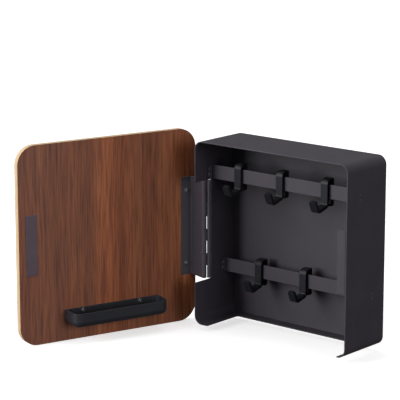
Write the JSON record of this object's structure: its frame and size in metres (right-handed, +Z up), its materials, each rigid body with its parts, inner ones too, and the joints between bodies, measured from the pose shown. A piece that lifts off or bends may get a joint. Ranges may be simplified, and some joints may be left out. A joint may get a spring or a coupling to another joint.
{
  "type": "key organiser",
  "caption": "Shallow square key cabinet in bent black sheet steel, with a walnut-veneered plywood door on a piano hinge, sliding clip-on hooks on flat rails and a small door tray.",
  "frame": {"origin": "centre of the magnet sheet's wall face, which rests on the wall", "axes": "+X to the right as the user faces the cabinet, +Y into the wall, +Z up"},
  "size_m": [0.2809, 0.2227, 0.2],
  "materials": {
    "black_powder_coat": "fine matt black powder coat",
    "black_hinge_steel": "satin black plated steel",
    "black_screw": "black oxide with bright wear on the cross recess",
    "tray_coat": "matt black coat",
    "walnut_veneer": "satin oiled walnut, vertical grain",
    "plywood_core": "clear-coated pale plywood edge",
    "magnet_strip": "dark grey magnetic rubber",
    "magnet_rubber": "dark magnetic rubber sheet",
    "hook_plastic": "fine-textured black moulded plastic"
  },
  "bodies": {
    "cabinet": {"cabinet_shell": "black_powder_coat", "back_panel": "black_powder_coat", "magnet_sheet": "magnet_rubber", "upper_rail": "black_powder_coat", "upper_rail_rivets": "black_screw", "lower_rail": "black_powder_coat", "lower_rail_rivets": "black_screw", "catch_plate": "black_powder_coat", "catch_rivets": "black_powder_coat", "hinge_body_leaf": "black_hinge_steel", "hinge_body_rivets": "black_powder_coat", "hinge_pin": "black_hinge_steel"},
    "door": {"hinge_door_leaf": "black_hinge_steel", "hinge_door_screws": "black_screw", "door_inner_veneer": "walnut_veneer", "door_core": "plywood_core", "door_outer_veneer": "walnut_veneer", "door_magnet_strip": "magnet_strip", "tray": "tray_coat", "tray_screws": "black_screw"},
    "hook_upper_left": {"hook_upper_left": "hook_plastic"},
    "hook_upper_middle": {"hook_upper_middle": "hook_plastic"},
    "hook_upper_right": {"hook_upper_right": "hook_plastic"},
    "hook_lower_left": {"hook_lower_left": "hook_plastic"},
    "hook_lower_right": {"hook_lower_right": "hook_plastic"}
  },
  "joints": [
    {"name": "door_swing", "type": "hinge", "parent": "cabinet", "child": "door", "pos_m": [-0.0994, -0.042, 0], "axis": [0, 0, 1], "range_deg": [-67, 108]},
    {"name": "hook_upper_left_slide", "type": "slide", "parent": "cabinet", "child": "hook_upper_left", "axis": [1, 0, 0], "range_m": [-0.021, 0.0215]},
    {"name": "hook_upper_middle_slide", "type": "slide", "parent": "cabinet", "child": "hook_upper_middle", "axis": [1, 0, 0], "range_m": [-0.0215, 0.0225]},
    {"name": "hook_upper_right_slide", "type": "slide", "parent": "cabinet", "child": "hook_upper_right", "axis": [1, 0, 0], "range_m": [-0.0225, 0.028]},
    {"name": "hook_lower_left_slide", "type": "slide", "parent": "cabinet", "child": "hook_lower_left", "axis": [1, 0, 0], "range_m": [-0.033, 0.0235]},
    {"name": "hook_lower_right_slide", "type": "slide", "parent": "cabinet", "child": "hook_lower_right", "axis": [1, 0, 0], "range_m": [-0.0235, 0.07]}
  ]
}
